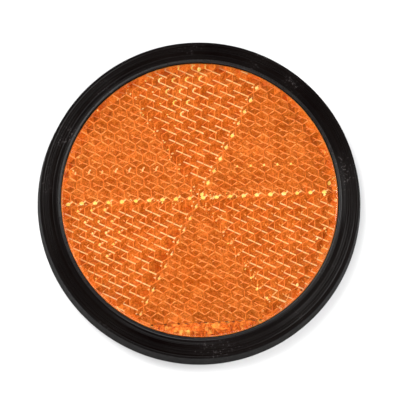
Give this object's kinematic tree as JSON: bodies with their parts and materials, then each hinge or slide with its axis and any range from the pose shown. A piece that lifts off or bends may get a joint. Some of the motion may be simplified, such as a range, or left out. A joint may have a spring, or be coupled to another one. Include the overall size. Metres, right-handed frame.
{
  "type": "round reflector",
  "caption": "Round amber retroreflector: prismatic acrylic lens sealed to a back plate, held in a black rubber rim ring, with an adhesive pad on the back.",
  "frame": {"origin": "centre of the adhesive pad's underside, where the reflector meets what it is stuck to", "axes": "+Z out of the lens along the reflector's axis, +Y towards the top of the picture, +X to its right"},
  "size_m": [0.06, 0.06, 0.0071],
  "materials": {
    "amber_acrylic": "clear amber moulded acrylic, polished front, moulded corner-cube prisms behind",
    "black_plastic": "black moulded plastic, fine spark-eroded texture",
    "black_rubber": "black moulded rubber, satin, fine turned lines from the mould",
    "foam_tape": "dark grey closed-cell foam, tacky adhesive skin"
  },
  "bodies": {
    "root": {"lens": "amber_acrylic", "back_plate": "black_plastic", "rim_ring": "black_rubber", "adhesive_pad": "foam_tape"}
  },
  "joints": []
}
